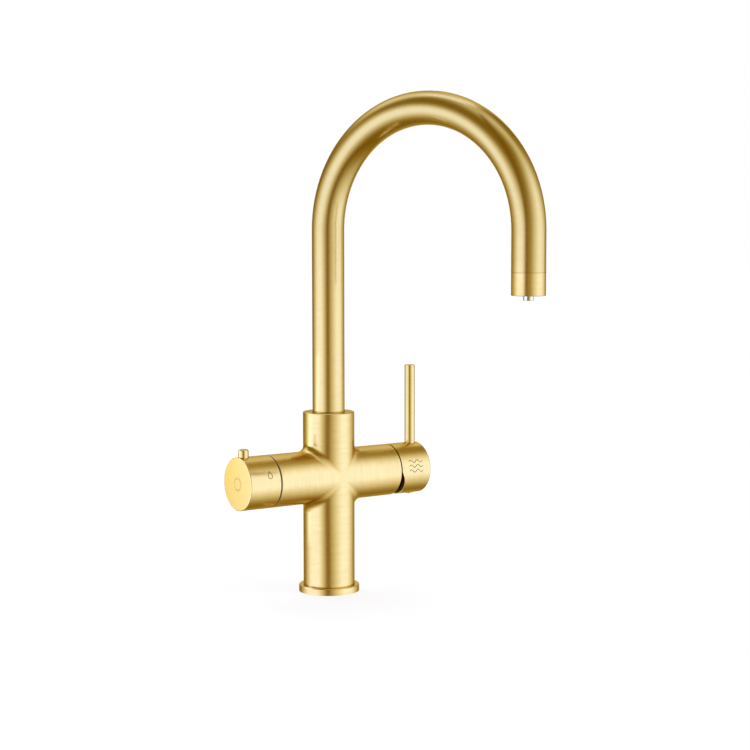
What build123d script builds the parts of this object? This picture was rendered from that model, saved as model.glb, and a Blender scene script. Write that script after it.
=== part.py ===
from build123d import *
import math
import os

# Boiling water tap with a cross-shaped body and a swan-neck spout, in millimetres.
# The origin is the centre of the underside, where the tap stands on the worktop.
# X runs along the two arms, with the boiling knob at -X and the mixer handle at +X.
# -Y is the side the user stands on, and Z points up.

# Clearances that every fit uses
slip = 0.05          # radial, between a turning or sliding piece and its bore
seat = 0.05          # radial, between two pieces that are screwed or pushed together
play = 0.3           # between pieces that move past each other
face_gap = 0.15      # between two flat faces that turn on each other
edge_break = 0.4     # small chamfer on turned edges
past = 1.0           # how far a cut runs past the face that it opens

# Column and arms, one casting
column_radius = 20.0
arm_radius = 20.25
arm_height = 90.5
column_rise = 49.9
left_arm_length = 55.1
right_arm_length = 55.8
blend_radius = 7.0
arm_edge_round = 0.5

# Base ring under the column
base_ring_radius = 23.55
base_ring_height = 5.25
base_ring_round = 0.8
base_lip_height = 1.5
base_lip_width = 3.0
base_seal_inset = 0.9
base_seal_width = 1.8
base_seal_height = 1.6

# Inlet block, the foot of the column: fixing stud hole in the middle, supply ports around it, and
# a spigot on top that sits in the casting
block_height = 20.0
block_spigot = 3.0
stud_hole_radius = 3.4
stud_hole_depth = 16.0
port_radius = 4.5
port_depth = 12.0
drill_radius = 3.0
boiling_port_offset = 11.5
mixer_port_x = 6.0
mixer_port_y = 9.0
gallery_radius = 2.5

# Spout tube and its swan neck
spout_radius = 12.5
spout_wall = 1.5
neck_radius = 89.7
riser_height = 140.45
spout_angle = -71.2
outlet_drop = 46.15
nozzle_length = 16.4

# Spout bearing inside the top of the column, from the top down
collar_depth = 6.0
collar_width = 3.65
bush_thickness = 2.0
bush_length = 7.0
foot_radius = 11.5
foot_flange_thickness = 2.0
foot_bore_radius = 7.5
foot_spigot_length = 8.0
washer_thickness = 1.2
foot_seal_section = 0.75
low_seal_inset = 5.0
high_seal_inset = 5.5
foot_floor_gap = 1.0
socket_floor_wall = 4.6

# Boiling water line through the spout
hose_radius = 4.0
hose_wall = 1.5
stem_radius = 3.5
stem_above_foot = 3.5
stem_seal_section = 0.55
barb_length = 10.0
barb_wall = 0.85

# Nozzle with its flow former and the boiling outlet in the middle
nozzle_wall = 3.5
nozzle_shoulder = 0.8
nozzle_spigot_length = 8.0
nozzle_round = 0.6
nozzle_seal_section = 0.6
former_recess = 1.5
former_thickness = 5.0
former_sleeve_wall = 1.25
former_sleeve_length = 11.0
former_hole_radius = 0.85
former_hole_circle = 7.1
former_hole_count = 16
outlet_tube_radius = 3.9
outlet_tube_drop = 3.5
outlet_tube_length = 16.4
outlet_mouth_radius = 3.1
outlet_mouth_depth = 8.0

# Boiling knob on the left arm
seam_ring_width = 0.9
seam_ring_inset = 0.4
seam_spigot_depth = 3.0
seam_spigot_wall = 1.4
knob_length = 26.15
knob_wall = 3.25
knob_end_wall = 9.95
knob_hub_radius = 8.0
knob_hub_length = 14.5
knob_face_round = 0.5
pin_radius = 3.9
pin_inset = 5.3
pin_height = 5.95
pin_depth = 7.5
pin_round = 1.2
knob_screw_radius = 1.95
knob_screw_inset = 18.45
knob_screw_length = 3.8

# Child-safety button in the middle of the knob
button_radius = 5.0
button_gap = 0.1
button_head = 2.5
button_travel = 2.5
button_web = 1.5
button_pocket = 7.95
button_stem_radius = 2.0
clip_radius = 3.4
clip_thickness = 0.8
clip_groove_depth = 0.5
spring_radius = 3.7
spring_wire = 0.3
spring_turns = 3.5

# Boiling valve in the left arm, measured inwards from the arm's end
valve_depth = 31.1
valve_radius = 10.45
valve_wall = 1.75
valve_length = 20.0
valve_chamber = 16.0
valve_hex = 24.0
valve_hex_height = 5.0
valve_neck_radius = 7.5
valve_neck_length = 7.5
valve_recess_radius = 15.5
valve_inlet_radius = 6.0
valve_inlet_depth = 5.0
valve_seal_width = 2.5
valve_seal_height = 2.0
disc_height = 2.9
valve_port_radius = 1.8
valve_port_place = 4.6
valve_window_radius = 2.2
spindle_radius = 4.0
spindle_flange_radius = 7.5
spindle_slot = 3.0
spindle_slot_depth = 4.0
spindle_seal_section = 0.45
spindle_seal_inset = 10.0
boiling_gallery_height = 8.0

# Mixer cartridge in the right arm, measured inwards from the arm's end
cartridge_depth = 33.8
cartridge_radius = 12.5
cartridge_wall = 1.55
cartridge_length = 24.0
cartridge_chamber = 17.85
cartridge_neck_wall = 1.45
cartridge_neck_length = 4.0
nut_overlap = 2.0
base_plate_thickness = 2.7
seal_ring_wall = 1.2
seal_ring_height = 1.25
seal_ring_proud = 0.25
supply_hole_y = 5.9
supply_hole_z = -4.0
mixed_hole_z = 7.0
cartridge_hole_radius = 2.4
moving_disc_radius = 8.5
moving_disc_offset = -1.9
mixing_pocket_radius = 5.0
mixing_pocket_depth = 1.5
driver_height = 4.7
guide_radius = 9.0
guide_flange_width = 1.6
guide_flange_height = 3.5
guide_proud = 2.0
guide_slot_width = 8.6
nut_radius = 15.5
nut_hex = 26.0
nut_hex_height = 2.7

# Lever spindle, pivoting in the guide
pivot_inset = 7.8
pivot_pin_radius = 1.5
ball_arm = 14.0
ball_radius = 2.6
ball_stem_radius = 1.7
rocker_length = 10.0
spindle_square = 7.0
spindle_grip = 8.8

# Mixer handle: its tilt in degrees, cap, lever rod, fixing screw and its plug
handle_tilt = 16.0
tilt_gap = 0.4
cap_length = 27.85
cap_wall = 3.25
cap_end_wall = 11.85
cap_face_round = 1.0
wedge_arc_radius = 57.0
lever_radius = 4.1
lever_inset = 6.3
lever_height = 62.3
lever_depth = 12.75
lever_round = 0.6
handle_screw_radius = 2.5
handle_screw_length = 8.0
plug_inset = 7.35
plug_radius = 3.3
plug_depth = 6.0
plug_proud = 0.6

# Column and spout places that follow from the sizes above, from the worktop up
reach = 2 * neck_radius
block_radius = column_radius - base_lip_width
block_top = block_height + block_spigot
column_height = arm_height + column_rise
tube_bore_radius = spout_radius - spout_wall
collar_radius = spout_radius + play + collar_width
bush_radius = spout_radius + slip + bush_thickness
collar_bottom = column_height - collar_depth
bush_bottom = collar_bottom - bush_length
flange_top = bush_bottom - play
flange_bottom = flange_top - foot_flange_thickness
washer_top = flange_bottom - face_gap
washer_bottom = washer_top - washer_thickness
boiling_gallery_z = arm_height + boiling_gallery_height
stem_bottom = boiling_gallery_z + gallery_radius
socket_floor = stem_bottom + socket_floor_wall
foot_bottom = socket_floor + foot_floor_gap
foot_seal_places = (foot_bottom + low_seal_inset, flange_bottom - high_seal_inset)
stem_seal_place = stem_bottom + socket_floor_wall / 2
stem_top = foot_bottom + stem_above_foot
hose_bore_radius = hose_radius - hose_wall
barb_radius = hose_bore_radius - seat
line_bore_radius = barb_radius - barb_wall
neck_centre_height = column_height + riser_height
outlet_height = neck_centre_height - outlet_drop
nozzle_top = outlet_height + nozzle_length
nozzle_spigot_top = nozzle_top + nozzle_spigot_length
nozzle_spigot_radius = tube_bore_radius - seat
nozzle_bore_radius = spout_radius - nozzle_wall
nozzle_seal_height = nozzle_top + nozzle_spigot_length / 2
outlet_tube_bottom = outlet_height - outlet_tube_drop
outlet_tube_top = outlet_tube_bottom + outlet_tube_length
former_bottom = outlet_height + former_recess
former_top = former_bottom + former_thickness

# Left arm places, as distances from the column's axis
arm_top = arm_height + arm_radius
arm_bottom = arm_height - arm_radius
knob_start = left_arm_length + seam_ring_width + play
knob_end = knob_start + knob_length
knob_cavity_end = knob_end - knob_end_wall
button_pocket_end = knob_end - button_pocket
button_web_end = button_pocket_end - button_web
clip_outer = button_web_end - play
clip_inner = clip_outer - clip_thickness
button_stem_end = clip_inner - play
pin_place = knob_end - pin_inset
pin_bottom = arm_top - pin_depth
pin_top = arm_top + pin_height
knob_screw_place = knob_end - knob_screw_inset
valve_seat = left_arm_length - valve_depth
valve_start = valve_seat + play
valve_shoulder = valve_seat + valve_length
valve_hex_end = valve_shoulder + valve_hex_height
valve_neck_end = valve_hex_end + valve_neck_length
valve_chamber_end = valve_seat + valve_chamber
valve_chamber_radius = valve_radius - valve_wall
valve_seal_end = valve_seat + valve_seal_height
fixed_disc_start = valve_seal_end + seat
fixed_disc_end = fixed_disc_start + disc_height
moving_disc_start = fixed_disc_end + face_gap
moving_disc_end = moving_disc_start + disc_height
spindle_end = button_stem_end - button_travel - play
spindle_seal_place = valve_neck_end - spindle_seal_inset
boiling_inlet_z = arm_height - valve_inlet_radius / 2

# Right arm places, as distances from the column's axis
cartridge_seat = right_arm_length - cartridge_depth
cartridge_end = cartridge_seat + cartridge_length
cartridge_chamber_end = cartridge_seat + cartridge_chamber
cartridge_neck_radius = guide_radius + slip + cartridge_neck_wall
cartridge_neck_end = cartridge_end + cartridge_neck_length
cartridge_bore_radius = cartridge_radius - cartridge_wall
cartridge_holes_at = (
    (-supply_hole_y, arm_height + supply_hole_z),
    (supply_hole_y, arm_height + supply_hole_z),
    (0, arm_height + mixed_hole_z),
)
base_plate_start = cartridge_seat + seal_ring_proud
base_plate_end = base_plate_start + base_plate_thickness
mixer_fixed_start = base_plate_end + seat
mixer_fixed_end = mixer_fixed_start + disc_height
mixer_moving_start = mixer_fixed_end + face_gap
mixer_moving_end = mixer_moving_start + disc_height
driver_end = mixer_moving_end + driver_height
guide_start = driver_end + play
guide_flange_end = guide_start + guide_flange_height
guide_end = cartridge_neck_end + guide_proud
nut_end = right_arm_length + nut_hex_height
tilt = math.radians(handle_tilt)
pivot_place = right_arm_length - pivot_inset
ball_place = pivot_place - ball_arm
rocker_start = pivot_place - rocker_length / 2
rocker_end = pivot_place + rocker_length / 2
guide_slot_height = 2 * (ball_arm * math.sin(tilt) + ball_radius + play)
cap_start = pivot_place + (pivot_inset + tilt_gap) / math.cos(tilt)
wedge_depth = arm_radius * math.tan(tilt)
cap_end = cap_start + cap_length
cap_cavity_end = cap_end - cap_end_wall
lever_spindle_end = cap_cavity_end + spindle_grip
lever_place = cap_end - lever_inset
lever_bottom = arm_top - lever_depth
lever_top = arm_top + lever_height
plug_place = cap_end - plug_inset
plug_seat = arm_bottom + plug_depth


# Helpers: round bars and rings along each axis

def upright_bar(radius, length):
    return Cylinder(radius, length, align=(Align.CENTER, Align.CENTER, Align.MIN))


def rod_z(radius, bottom, top, x=0, y=0):
    return Pos(x, y, bottom) * upright_bar(radius, top - bottom)


def rod_x(radius, left, right, y=0, z=arm_height):
    return Pos(left, y, z) * Rot(0, 90, 0) * upright_bar(radius, right - left)


def rod_y(radius, front, back, x):
    return Pos(x, front, arm_height) * Rot(-90, 0, 0) * upright_bar(radius, back - front)


def ring_z(outer, inner, bottom, top, x=0):
    return rod_z(outer, bottom, top, x) - rod_z(inner, bottom, top, x)


def ring_x(outer, inner, left, right, y=0, z=arm_height):
    return rod_x(outer, left, right, y, z) - rod_x(inner, left, right, y, z)


def bar_x(width, height, left, right):
    block = Box(right - left, width, height, align=(Align.MIN, Align.CENTER, Align.CENTER))
    return Pos(left, 0, arm_height) * block


def hex_x(across_flats, left, right):
    profile = RegularPolygon(across_flats / 2, 6, major_radius=False)
    return Pos(left, 0, arm_height) * Rot(0, 90, 0) * extrude(profile, right - left)


def o_ring(outer, section):
    return Torus(outer - section, section)


def lying_on_arm(shape, place):
    """Built around Z at the origin, then laid along the arms at one place."""
    return Pos(place, 0, arm_height) * Rot(0, 90, 0) * shape


def rim(shape, axis, place, radius):
    """The circular edges of one radius whose centres lie at one place along an axis."""
    return [
        edge for edge in shape.edges().filter_by(GeomType.CIRCLE)
        if abs(edge.radius - radius) < 1e-4 and abs(getattr(edge.arc_center, axis) - place) < 1e-4
    ]


def turned_to_spout(shape):
    """Built in the plane y = 0 with the outlet at +X, then turned to where the spout points."""
    return Rot(0, 0, spout_angle) * shape


def swan_neck(outer, inner, bottom, end):
    """A pipe that rises from bottom, goes over the half circle and comes down to end."""
    centre = Axis((neck_radius, 0, neck_centre_height), (0, 1, 0))
    section = Pos(0, 0, neck_centre_height) * (Circle(outer) - Circle(inner))
    arch = revolve(section, axis=centre, revolution_arc=180)
    rising = ring_z(outer, inner, bottom, neck_centre_height)
    falling = ring_z(outer, inner, end, neck_centre_height, x=reach)
    return rising + arch + falling


# Tap body

def cross_casting():
    column = rod_z(column_radius, block_height, column_height)
    arms = rod_x(arm_radius, -left_arm_length, right_arm_length)
    cross = column + arms
    crossing = [
        edge for edge in cross.edges()
        if edge.geom_type not in (GeomType.LINE, GeomType.CIRCLE)
    ]
    cross = fillet(crossing, blend_radius)
    cross = chamfer(rim(cross, "Z", column_height, column_radius), edge_break)
    cross = fillet(rim(cross, "X", right_arm_length, arm_radius), arm_edge_round)
    return fillet(rim(cross, "X", -left_arm_length, arm_radius), arm_edge_round / 2)


def spout_socket():
    collar_pocket = rod_z(collar_radius + seat, collar_bottom, column_height + past)
    bush_pocket = rod_z(bush_radius + seat, washer_bottom, collar_bottom)
    foot_pocket = rod_z(foot_radius + slip, socket_floor, washer_bottom)
    stem_pocket = rod_z(stem_radius + slip, boiling_gallery_z - gallery_radius, socket_floor)
    return collar_pocket + bush_pocket + foot_pocket + stem_pocket


def valve_bores():
    recess = rod_x(valve_recess_radius, -left_arm_length - past, -valve_shoulder)
    barrel = rod_x(valve_radius + seat, -valve_shoulder, -valve_seat)
    inlet = rod_x(valve_inlet_radius, -valve_seat, -valve_seat + valve_inlet_depth)
    return recess + barrel + inlet


def cartridge_bores():
    thread_start = cartridge_end - nut_overlap
    barrel = rod_x(cartridge_radius + seat, cartridge_seat, thread_start)
    return barrel + rod_x(nut_radius + seat, thread_start, right_arm_length + past)


def supply_drillings():
    """Where each supply port is, and how high its drilling rises in the column."""
    mixer_top = arm_height + supply_hole_z
    return (
        (-boiling_port_offset, 0, boiling_inlet_z),
        (mixer_port_x, -mixer_port_y, mixer_top),
        (mixer_port_x, mixer_port_y, mixer_top),
    )


def supply_bores():
    bores = rod_z(block_radius + seat, block_height - past, block_top)
    for x, y, top in supply_drillings():
        bores += rod_z(drill_radius, block_top - past, top, x, y)
    return bores


def gallery_bores():
    """Cross drillings: boiling water in and out on the left, cold, hot and mixed on the right."""
    inlet_middle = valve_seat - valve_inlet_depth / 2
    bores = rod_x(gallery_radius, -inlet_middle, -boiling_port_offset, z=boiling_inlet_z)
    bores += rod_x(gallery_radius, -valve_seat - valve_chamber / 2, 0, z=boiling_gallery_z)
    mixed_x = foot_radius - gallery_radius
    starts = (mixer_port_x, mixer_port_x, mixed_x)
    for start, (y, z) in zip(starts, cartridge_holes_at):
        bores += rod_x(gallery_radius, start, cartridge_seat + past, y, z)
    mixed_z = arm_height + mixed_hole_z
    return bores + rod_z(gallery_radius, mixed_z, socket_floor + past, x=mixed_x)


def make_tap_body():
    body = cross_casting()
    for bores in (spout_socket(), valve_bores(), cartridge_bores(), supply_bores(), gallery_bores()):
        body -= bores
    return body


# Inlet block

def make_inlet_block():
    block = rod_z(block_radius, 0, block_top)
    block += rod_z(column_radius, base_lip_height, block_height)
    block -= rod_z(stud_hole_radius, -past, stud_hole_depth)
    for x, y, _ in supply_drillings():
        block -= rod_z(port_radius, -past, port_depth, x, y)
        block -= rod_z(drill_radius, port_depth - past, block_top + past, x, y)
    return block


# Base ring and its seal

def base_seal_radii():
    inner = column_radius + base_seal_inset
    return inner + base_seal_width, inner


def make_base_ring():
    outer, inner = base_seal_radii()
    ring = rod_z(base_ring_radius, 0, base_ring_height)
    ring = fillet(rim(ring, "Z", base_ring_height, base_ring_radius), base_ring_round)
    ring -= rod_z(block_radius + seat, -past, base_lip_height)
    ring -= rod_z(column_radius + seat, base_lip_height, base_ring_height + past)
    return ring - ring_z(outer + seat, inner - seat, -past, base_seal_height + seat)


def make_base_seal():
    outer, inner = base_seal_radii()
    return ring_z(outer, inner, 0, base_seal_height)


# Spout and its bearing

def make_collar_ring():
    ring = ring_z(collar_radius, spout_radius + play, collar_bottom, column_height)
    return chamfer(rim(ring, "Z", column_height, spout_radius + play), edge_break / 2)


def make_spout_bush():
    return ring_z(bush_radius, spout_radius + slip, bush_bottom, collar_bottom)


def make_spout_washer():
    return ring_z(bush_radius, foot_radius + play, washer_bottom, washer_top)


def make_spout_foot():
    spigot_top = flange_top + foot_spigot_length
    foot = rod_z(foot_radius, foot_bottom, flange_bottom)
    foot += rod_z(bush_radius - play, flange_bottom, flange_top)
    foot += rod_z(tube_bore_radius - seat, flange_top, spigot_top)
    half = foot_seal_section + seat
    groove_floor = foot_radius - 2 * foot_seal_section
    for place in foot_seal_places:
        foot -= ring_z(foot_radius + past, groove_floor, place - half, place + half)
    return foot - rod_z(foot_bore_radius, foot_bottom - past, spigot_top + past)


def make_foot_seals():
    seal = o_ring(foot_radius, foot_seal_section)
    return Compound(children=[Pos(0, 0, place) * seal for place in foot_seal_places])


def make_spout_tube():
    return turned_to_spout(swan_neck(spout_radius, tube_bore_radius, flange_top, nozzle_top))


# Boiling water line

def make_boiling_stem():
    barb_top = stem_top + barb_length
    stem = rod_z(stem_radius, stem_bottom, stem_top)
    stem += rod_z(barb_radius, stem_top, barb_top)
    low = stem_seal_place - stem_seal_section - seat
    high = stem_seal_place + stem_seal_section + seat
    groove_floor = stem_radius - 2 * stem_seal_section
    stem -= ring_z(stem_radius + past, groove_floor, low, high)
    return stem - rod_z(line_bore_radius, stem_bottom - past, barb_top + past)


def make_stem_seal():
    return Pos(0, 0, stem_seal_place) * o_ring(stem_radius, stem_seal_section)


def make_boiling_hose():
    return turned_to_spout(swan_neck(hose_radius, hose_bore_radius, stem_top, outlet_tube_top))


def make_outlet_tube():
    barb_top = outlet_tube_top + barb_length
    tube = rod_z(outlet_tube_radius, outlet_tube_bottom, outlet_tube_top, x=reach)
    tube = chamfer(rim(tube, "Z", outlet_tube_bottom, outlet_tube_radius), edge_break / 2)
    tube += rod_z(barb_radius, outlet_tube_top, barb_top, x=reach)
    tube -= rod_z(line_bore_radius, outlet_tube_bottom, barb_top + past, x=reach)
    mouth_top = outlet_tube_bottom + outlet_mouth_depth
    tube -= rod_z(outlet_mouth_radius, outlet_tube_bottom - past, mouth_top, x=reach)
    return turned_to_spout(tube)


# Nozzle

def make_nozzle():
    nozzle = rod_z(spout_radius, outlet_height, nozzle_top, x=reach)
    nozzle = fillet(rim(nozzle, "Z", outlet_height, spout_radius), nozzle_round)
    nozzle = chamfer(rim(nozzle, "Z", nozzle_top, spout_radius), edge_break / 4)
    nozzle += rod_z(nozzle_spigot_radius, nozzle_top, nozzle_spigot_top, x=reach)
    shoulder_radius = nozzle_bore_radius - nozzle_shoulder
    nozzle -= rod_z(shoulder_radius, former_top, nozzle_spigot_top + past, x=reach)
    nozzle -= rod_z(nozzle_bore_radius, outlet_height - past, former_top, x=reach)
    half = nozzle_seal_section + seat
    groove_floor = nozzle_spigot_radius - 2 * nozzle_seal_section
    low = nozzle_seal_height - half
    high = nozzle_seal_height + half
    return turned_to_spout(nozzle - ring_z(spout_radius, groove_floor, low, high, x=reach))


def make_nozzle_seal():
    seal = o_ring(nozzle_spigot_radius, nozzle_seal_section)
    return turned_to_spout(Pos(reach, 0, nozzle_seal_height) * seal)


def make_flow_former():
    hole = outlet_tube_radius + seat
    sleeve_top = former_bottom + former_sleeve_length
    former = rod_z(nozzle_bore_radius - seat, former_bottom, former_top, x=reach)
    former += rod_z(hole + former_sleeve_wall, former_top, sleeve_top, x=reach)
    former -= rod_z(hole, former_bottom - past, sleeve_top + past, x=reach)
    for number in range(former_hole_count):
        turn = math.radians(360 * number / former_hole_count)
        x = reach + former_hole_circle * math.cos(turn)
        y = former_hole_circle * math.sin(turn)
        former -= rod_z(former_hole_radius, former_bottom - past, former_top + past, x, y)
    return turned_to_spout(former)


# Boiling knob and the ring in the seam behind it

def make_seam_ring():
    spigot_radius = valve_recess_radius - seat
    bore = spigot_radius - seam_spigot_wall
    left = -left_arm_length - seam_ring_width
    flange = ring_x(arm_radius - seam_ring_inset, bore, left, -left_arm_length)
    return flange + ring_x(spigot_radius, bore, -left_arm_length, -left_arm_length + seam_spigot_depth)


def make_boiling_knob():
    open_end = -knob_start + past
    knob = rod_x(arm_radius, -knob_end, -knob_start)
    knob = fillet(rim(knob, "X", -knob_end, arm_radius), knob_face_round)
    knob = chamfer(rim(knob, "X", -knob_start, arm_radius), edge_break / 2)
    knob -= ring_x(arm_radius - knob_wall, knob_hub_radius, -knob_cavity_end, open_end)
    knob -= rod_x(knob_hub_radius + past, -knob_cavity_end + knob_hub_length, open_end)
    knob -= rod_x(spindle_radius + seat, -button_web_end, open_end)
    knob -= rod_x(button_radius + button_gap, -knob_end - past, -button_pocket_end)
    knob -= rod_x(button_stem_radius + slip, -button_pocket_end - past, -button_web_end + past)
    knob -= rod_z(pin_radius + seat, pin_bottom, pin_top, x=-pin_place)
    hub_bottom = arm_height - knob_hub_radius
    knob -= rod_z(knob_screw_radius + seat, hub_bottom - past, arm_height, x=-knob_screw_place)
    access_radius = knob_screw_radius + play
    return knob - rod_z(access_radius, arm_bottom - past, hub_bottom - past, x=-knob_screw_place)


def make_thumb_pin():
    pin = rod_z(pin_radius, pin_bottom, pin_top, x=-pin_place)
    return fillet(rim(pin, "Z", pin_top, pin_radius), pin_round)


def make_knob_screw():
    top = arm_height - spindle_radius - seat
    return rod_z(knob_screw_radius, top - knob_screw_length, top, x=-knob_screw_place)


# Child-safety button, the clip that holds it in and its spring

def make_safety_button():
    button = rod_x(button_radius, -knob_end, -knob_end + button_head)
    button = chamfer(rim(button, "X", -knob_end, button_radius), edge_break / 2)
    button += rod_x(button_stem_radius, -knob_end + button_head, -button_stem_end)
    groove_floor = button_stem_radius - clip_groove_depth
    return button - ring_x(
        button_stem_radius + past, groove_floor, -clip_outer - seat, -clip_inner + seat
    )


def make_button_clip():
    bore = button_stem_radius - clip_groove_depth + seat
    return ring_x(clip_radius, bore, -clip_outer, -clip_inner)


def make_button_spring():
    end_gap = spring_wire + seat
    left = -knob_end + button_head + end_gap
    height = -button_pocket_end - end_gap - left
    helix = Helix(pitch=height / spring_turns, height=height, radius=spring_radius)
    wire = sweep(Plane(origin=helix @ 0, z_dir=helix % 0) * Circle(spring_wire), path=helix)
    return lying_on_arm(wire, left)


# Boiling valve

def valve_ports(start, end):
    """The pair of ports that cross both ceramic discs."""
    ports = rod_x(valve_port_radius, -end, -start, y=-valve_port_place)
    return ports + rod_x(valve_port_radius, -end, -start, y=valve_port_place)


def make_valve_body():
    body = rod_x(valve_radius, -valve_shoulder, -valve_start)
    body += hex_x(valve_hex, -valve_hex_end, -valve_shoulder)
    body += rod_x(valve_neck_radius, -valve_neck_end, -valve_hex_end)
    body -= rod_x(valve_chamber_radius, -valve_chamber_end, -valve_start + past)
    body -= rod_x(spindle_radius + slip, -valve_neck_end - past, -valve_chamber_end)
    window_place = -moving_disc_end - spindle_slot_depth / 2
    half = valve_radius + past
    return body - rod_z(valve_window_radius, arm_height - half, arm_height + half, x=window_place)


def make_valve_seal():
    outer = valve_chamber_radius - seat
    return ring_x(outer, outer - valve_seal_width, -valve_seal_end, -valve_seat)


def make_valve_fixed_disc():
    disc = rod_x(valve_chamber_radius - seat, -fixed_disc_end, -fixed_disc_start)
    return disc - valve_ports(fixed_disc_start, fixed_disc_end)


def make_valve_moving_disc():
    disc = rod_x(valve_chamber_radius - play, -moving_disc_end, -moving_disc_start)
    return disc - valve_ports(moving_disc_start, moving_disc_end)


def make_valve_spindle():
    flange_end = valve_chamber_end - play
    slot_end = moving_disc_end + spindle_slot_depth
    spindle = rod_x(spindle_flange_radius, -flange_end, -moving_disc_end)
    spindle -= bar_x(2 * spindle_flange_radius + past, spindle_slot, -slot_end, -moving_disc_end)
    spindle += rod_x(spindle_radius, -spindle_end, -flange_end)
    half = spindle_seal_section + seat
    groove_floor = spindle_radius - 2 * spindle_seal_section
    left = -spindle_seal_place - half
    right = -spindle_seal_place + half
    return spindle - ring_x(spindle_radius + past, groove_floor, left, right)


def make_spindle_seal():
    return lying_on_arm(o_ring(spindle_radius, spindle_seal_section), -spindle_seal_place)


# Mixer cartridge

def cartridge_holes(radius, left, right):
    """The cold, hot and mixed water holes, in one piece for cutting."""
    cold, hot, mixed = (rod_x(radius, left, right, y, z) for y, z in cartridge_holes_at)
    return cold + hot + mixed


def make_cartridge_shell():
    shell = rod_x(cartridge_radius, base_plate_start, cartridge_end)
    shell += rod_x(cartridge_neck_radius, cartridge_end, cartridge_neck_end)
    shell -= rod_x(cartridge_bore_radius, base_plate_start - past, cartridge_chamber_end)
    return shell - rod_x(guide_radius + slip, cartridge_chamber_end, cartridge_neck_end + past)


def make_cartridge_base():
    plate = rod_x(cartridge_bore_radius - seat, base_plate_start, base_plate_end)
    plate -= cartridge_holes(cartridge_hole_radius, base_plate_start - past, base_plate_end + past)
    seal_radius = cartridge_hole_radius + seal_ring_wall + seat
    seal_floor = cartridge_seat + seal_ring_height + seat
    return plate - cartridge_holes(seal_radius, base_plate_start - past, seal_floor)


def make_cartridge_seals():
    outer = cartridge_hole_radius + seal_ring_wall
    seal_end = cartridge_seat + seal_ring_height
    rings = [
        ring_x(outer, cartridge_hole_radius, cartridge_seat, seal_end, y, z)
        for y, z in cartridge_holes_at
    ]
    return Compound(children=rings)


def make_mixer_fixed_disc():
    disc = rod_x(cartridge_bore_radius - seat, mixer_fixed_start, mixer_fixed_end)
    return disc - cartridge_holes(cartridge_hole_radius, mixer_fixed_start - past, mixer_fixed_end + past)


def make_mixer_moving_disc():
    centre = arm_height + moving_disc_offset
    disc = rod_x(moving_disc_radius, mixer_moving_start, mixer_moving_end, z=centre)
    pocket_end = mixer_moving_start + mixing_pocket_depth
    return disc - rod_x(mixing_pocket_radius, mixer_moving_start - past, pocket_end, z=centre)


def make_disc_driver():
    centre = arm_height + moving_disc_offset
    driver = rod_x(moving_disc_radius, mixer_moving_end, driver_end, z=centre)
    return driver - rod_x(ball_radius + play, mixer_moving_end + seat, driver_end + past)


def make_mixer_guide():
    guide = rod_x(guide_radius + guide_flange_width, guide_start, guide_flange_end)
    guide += rod_x(guide_radius, guide_flange_end, guide_end)
    guide -= bar_x(guide_slot_width, guide_slot_height, guide_start - past, guide_end + past)
    return guide - rod_y(pivot_pin_radius + seat, -guide_radius - past, guide_radius + past, pivot_place)


def make_pivot_pin():
    half = guide_radius - 2 * seat
    return rod_y(pivot_pin_radius, -half, half, pivot_place)


def make_cartridge_nut():
    nut = rod_x(nut_radius, cartridge_end + seat, right_arm_length)
    nut += hex_x(nut_hex, right_arm_length, nut_end)
    return nut - rod_x(cartridge_neck_radius + seat, cartridge_end, nut_end + past)


# Mixer handle

def make_lever_spindle():
    rocker_width = guide_slot_width - 2 * play
    spindle = Pos(ball_place, 0, arm_height) * Sphere(ball_radius)
    spindle += rod_x(ball_stem_radius, ball_place, rocker_start + past)
    spindle += bar_x(rocker_width, spindle_square, rocker_start, rocker_end)
    spindle += bar_x(spindle_square, spindle_square, rocker_end, lever_spindle_end)
    return spindle - rod_y(pivot_pin_radius + slip, -guide_radius, guide_radius, pivot_place)


def wedge_cutter():
    """The rim of the cap is cut back below the axis along an arc, to let the handle tilt."""
    start = (cap_start, arm_height)
    end = (cap_start + wedge_depth, arm_bottom)
    low = arm_bottom - arm_radius
    left = cap_start - wedge_depth
    arc = RadiusArc(start, end, wedge_arc_radius)
    sides = Polyline(end, (end[0], low), (left, low), (left, arm_height), start)
    face = Plane.XZ * make_face((arc + sides).edges())
    return extrude(face, 2 * arm_radius, both=True)


def make_mixer_cap():
    side = spindle_square + 2 * seat
    cap = rod_x(arm_radius, cap_start, cap_end)
    cap = fillet(rim(cap, "X", cap_end, arm_radius), cap_face_round)
    cap -= rod_x(arm_radius - cap_wall, cap_start - past, cap_cavity_end)
    cap -= wedge_cutter()
    cap -= bar_x(side, side, cap_cavity_end - past, lever_spindle_end + play)
    cap -= rod_z(lever_radius + seat, lever_bottom, lever_top, x=lever_place)
    cap -= rod_z(handle_screw_radius + seat, plug_seat, arm_height, x=plug_place)
    return cap - rod_z(plug_radius + seat, arm_bottom - plug_depth, plug_seat, x=plug_place)


def make_lever_rod():
    rod = rod_z(lever_radius, lever_bottom, lever_top, x=lever_place)
    return fillet(rim(rod, "Z", lever_top, lever_radius), lever_round)


def make_handle_screw():
    top = arm_height - spindle_square / 2 - seat
    return rod_z(handle_screw_radius, top - handle_screw_length, top, x=plug_place)


def make_handle_plug():
    bottom = arm_bottom - plug_proud
    plug = rod_z(plug_radius, bottom, plug_seat - seat, x=plug_place)
    return chamfer(rim(plug, "Z", bottom, plug_radius), edge_break / 2)


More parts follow.
